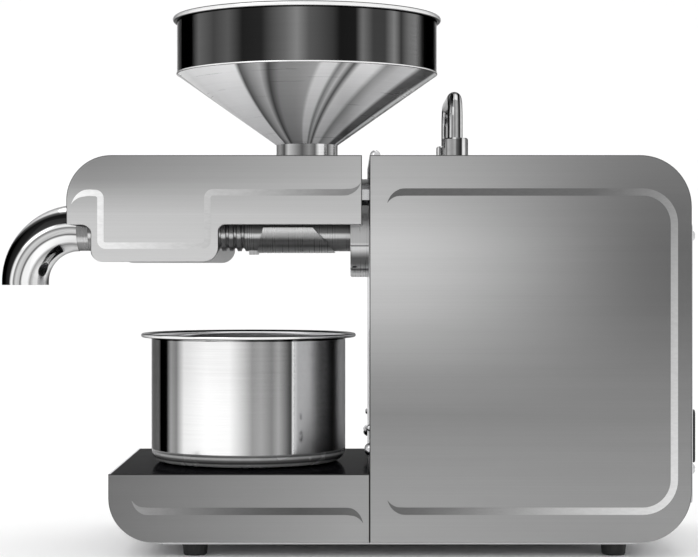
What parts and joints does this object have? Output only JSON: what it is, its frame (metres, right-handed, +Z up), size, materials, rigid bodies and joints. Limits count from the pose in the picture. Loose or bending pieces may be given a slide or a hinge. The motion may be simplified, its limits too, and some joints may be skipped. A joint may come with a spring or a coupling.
{
  "type": "screw oil press",
  "caption": "Table-top screw oil press: steel casing with gear motor, heated press barrel with worm, hopper, cake spout, drip base and oil pot.",
  "frame": {"origin": "floor level under the centre of the bounding box", "axes": "+X along the press screw from the cake spout to the motor end, +Y from the front face plate to the back one, +Z up"},
  "size_m": [0.4336, 0.1722, 0.335],
  "materials": {
    "face_steel": "fine horizontal brushed stainless",
    "sheet_steel": "brushed stainless sheet",
    "black_enamel": "gloss black enamel",
    "black_rubber": "moulded matt rubber",
    "pot_steel": "mirror polished stainless",
    "hopper_steel": "mirror polished stainless",
    "spout_chrome": "polished",
    "handle_chrome": "polished",
    "turned_steel": "turned and polished",
    "screw_steel": "ground",
    "fastener_steel": "bright zinc",
    "gear_steel": "hobbed, oiled",
    "frame_paint": "grey paint",
    "bush_brass": "machined",
    "saddle_aluminium": "as cast",
    "motor_steel": "black paint",
    "armature_iron": "varnished laminations",
    "fan_plastic": "moulded",
    "board_laminate": "solder mask",
    "black_plastic": "moulded",
    "rocker_plastic": "gloss moulded"
  },
  "bodies": {
    "machine": {"casing_front_plate": "face_steel", "casing_back_plate": "face_steel", "base_front_plate": "face_steel", "base_back_plate": "face_steel", "head_front_plate": "face_steel", "head_back_plate": "face_steel", "casing_wrap": "sheet_steel", "press_side_wall": "sheet_steel", "base_wrap": "sheet_steel", "head_wrap": "sheet_steel", "head_end_wall": "sheet_steel", "end_panel": "sheet_steel", "bottom_pan": "sheet_steel", "drip_plate": "black_enamel", "rubber_feet": "black_rubber", "carry_handle": "handle_chrome", "handle_ferrules": "handle_chrome", "bearing_housing": "turned_steel", "feed_chute": "turned_steel", "bearing_outer_rings": "screw_steel", "wall_screws": "fastener_steel", "end_panel_screws": "fastener_steel", "barrel_grub_screw": "fastener_steel", "frame_fasteners": "fastener_steel", "head_spacers": "fastener_steel", "gearbox_pillars": "fastener_steel", "gearbox_frame": "frame_paint", "motor_plate": "frame_paint", "layshaft_bushes": "bush_brass", "inlet_pins": "bush_brass", "heater_saddle": "saddle_aluminium", "heater_cartridges": "saddle_aluminium", "motor_end_bell": "saddle_aluminium", "motor_can": "motor_steel", "thermostat": "fan_plastic", "board_components": "fan_plastic", "control_board": "board_laminate", "mains_inlet": "black_plastic", "switch_housings": "black_plastic"},
    "drive_line": {"press_screw": "screw_steel", "output_shaft": "screw_steel", "output_gear": "gear_steel", "bearing_inner_rings": "screw_steel"},
    "layshaft_group": {"layshaft": "screw_steel", "layshaft_pinion": "gear_steel", "layshaft_gear": "gear_steel"},
    "motor_rotor": {"motor_shaft": "screw_steel", "motor_pinion": "gear_steel", "armature": "armature_iron", "cooling_fan": "fan_plastic"},
    "barrel_group": {"press_barrel": "turned_steel", "oil_guard": "turned_steel", "cake_ring": "spout_chrome", "cake_spout": "spout_chrome"},
    "hopper": {"hopper_band": "hopper_steel", "hopper_cone": "hopper_steel"},
    "pot": {"oil_pot": "pot_steel"},
    "heat_switch": {"heat_rocker": "rocker_plastic"},
    "press_switch": {"press_rocker": "rocker_plastic"},
    "clear_switch": {"clear_rocker": "rocker_plastic"}
  },
  "joints": [
    {"name": "screw_turn", "type": "hinge", "parent": "machine", "child": "drive_line", "pos_m": [0, 0, 0.2], "axis": [1, 0, 0], "continuous": true},
    {"name": "layshaft_turn", "type": "hinge", "parent": "machine", "child": "layshaft_group", "pos_m": [0.06, 0, 0.1625], "axis": [1, 0, 0], "continuous": true},
    {"name": "rotor_turn", "type": "hinge", "parent": "machine", "child": "motor_rotor", "pos_m": [0.12, 0, 0.1275], "axis": [1, 0, 0], "continuous": true},
    {"name": "barrel_out", "type": "slide", "parent": "machine", "child": "barrel_group", "axis": [-1, 0, 0], "range_m": [0, 0.18]},
    {"name": "hopper_lift", "type": "slide", "parent": "machine", "child": "hopper", "axis": [0, 0, 1], "range_m": [0, 0.12]},
    {"name": "pot_out", "type": "slide", "parent": "machine", "child": "pot", "axis": [0, -1, 0], "range_m": [0, 0.2]},
    {"name": "heat_press", "type": "hinge", "parent": "machine", "child": "heat_switch", "pos_m": [0.2124, -0.04, 0.18], "axis": [0, 1, 0], "range_deg": [0, 18]},
    {"name": "press_press", "type": "hinge", "parent": "machine", "child": "press_switch", "pos_m": [0.2124, 0, 0.18], "axis": [0, 1, 0], "range_deg": [0, 18]},
    {"name": "clear_press", "type": "hinge", "parent": "machine", "child": "clear_switch", "pos_m": [0.2124, 0.04, 0.18], "axis": [0, 1, 0], "range_deg": [0, 18]}
  ],
  "couplings": [
    {"joint": "layshaft_turn", "follows": "screw_turn", "ratio": -3.2857},
    {"joint": "rotor_turn", "follows": "screw_turn", "ratio": 13.143}
  ]
}
